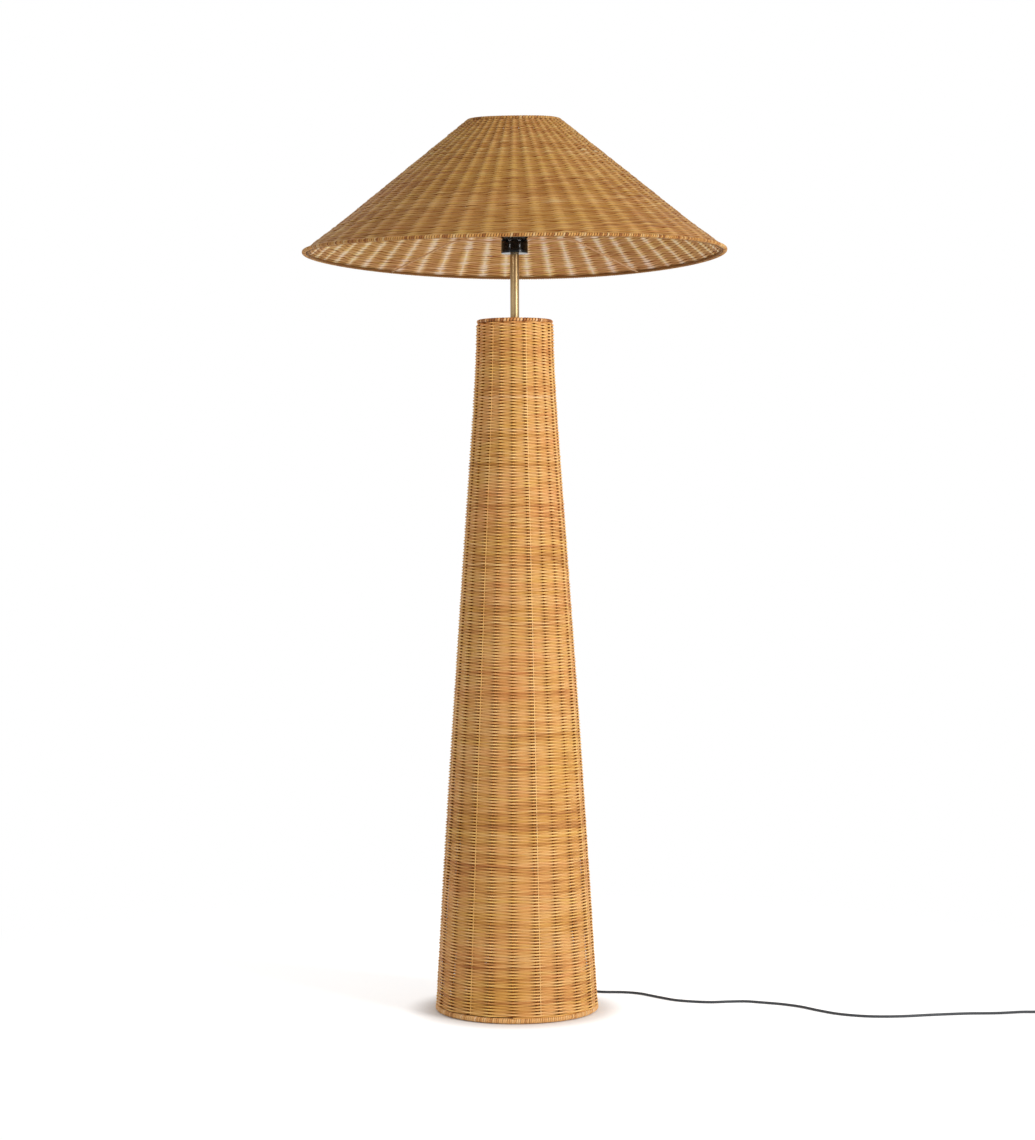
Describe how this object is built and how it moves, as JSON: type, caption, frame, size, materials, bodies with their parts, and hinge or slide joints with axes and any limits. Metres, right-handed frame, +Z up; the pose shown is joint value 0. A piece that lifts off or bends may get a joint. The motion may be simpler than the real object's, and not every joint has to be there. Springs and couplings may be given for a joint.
{
  "type": "floor lamp",
  "caption": "Tall floor lamp: tapering woven rattan tower on a weighted foot, short brass tube and a wide low woven cone shade on a wire spider, with lead, foot switch and plug.",
  "frame": {"origin": "on the floor, under the middle of the tower", "axes": "+Z up along the tower, -Y towards the viewer of the picture, +X to the viewer's right, where the lead leaves"},
  "size_m": [1.4099, 0.716, 1.5005],
  "materials": {
    "rattan_weave": "woven rattan, unvarnished, satin",
    "rattan_binding": "split rattan wrapping, satin",
    "black_steel": "black powder coat, satin",
    "zinc_steel": "zinc plated",
    "cast_iron": "cast, matte",
    "brass": "satin",
    "cream_wire": "cream paint, semi-gloss",
    "gloss_black": "glossy",
    "black_plastic": "fine matte",
    "black_rubber": "matte",
    "lead_black": "satin sheath"
  },
  "bodies": {
    "lamp": {"tower_weave": "rattan_weave", "tower_top_disc": "rattan_weave", "tower_foot_border": "rattan_binding", "tower_top_border": "rattan_binding", "cross_bar": "black_steel", "frame_foot_hoop": "black_steel", "frame_top_hoop": "black_steel", "frame_middle_hoop_1": "black_steel", "frame_middle_hoop_2": "black_steel", "frame_upright_1": "black_steel", "frame_upright_2": "black_steel", "frame_upright_3": "black_steel", "frame_upright_4": "black_steel", "frame_upright_5": "black_steel", "frame_upright_6": "black_steel", "frame_top_plate": "black_steel", "weight_washer": "zinc_steel", "weight_nut": "zinc_steel", "weight_bolt": "zinc_steel", "thread_washer": "zinc_steel", "thread_nut": "zinc_steel", "cap_nut": "zinc_steel", "threaded_tube": "zinc_steel", "switch_spring": "zinc_steel", "base_weight": "cast_iron", "tube_flange": "brass", "brass_tube": "brass", "screw_shell": "brass", "middle_contact": "brass", "plug_pin_1": "brass", "plug_pin_2": "brass", "lampholder_cap": "gloss_black", "lampholder_body": "black_plastic", "lead_clip": "black_plastic", "switch_base": "black_plastic", "switch_cover": "black_plastic", "plug_body": "black_plastic", "foot_pad_1": "black_rubber", "foot_pad_2": "black_rubber", "foot_pad_3": "black_rubber", "foot_pad_4": "black_rubber", "lead_grommet": "black_rubber", "switch_sleeve_in": "black_rubber", "switch_sleeve_out": "black_rubber", "plug_sleeve": "black_rubber", "lead_inside": "lead_black", "lead_on_floor": "lead_black", "lead_coil": "lead_black"},
    "shade": {"shade_weave": "rattan_weave", "shade_rim_binding": "rattan_binding", "shade_top_binding": "rattan_binding", "shade_rim_wire": "cream_wire", "shade_top_wire": "cream_wire", "spider_ring": "cream_wire", "spider_arm_1": "cream_wire", "spider_arm_2": "cream_wire", "spider_arm_3": "cream_wire", "spider_arm_4": "cream_wire"},
    "ring_nut": {"shade_ring_nut": "gloss_black"},
    "foot_button": {"switch_button": "gloss_black"}
  },
  "joints": [
    {"name": "shade_turn", "type": "hinge", "parent": "lamp", "child": "shade", "pos_m": [0, 0, 1.295], "axis": [0, 0, 1], "continuous": true},
    {"name": "ring_nut_turn", "type": "hinge", "parent": "lamp", "child": "ring_nut", "pos_m": [0, 0, 1.3016], "axis": [0, 0, 1], "continuous": true},
    {"name": "button_press", "type": "slide", "parent": "lamp", "child": "foot_button", "axis": [0, 0, -1], "range_m": [0, 0.003], "stiffness_N_per_m": 800, "deforming": ["switch_spring"]}
  ]
}
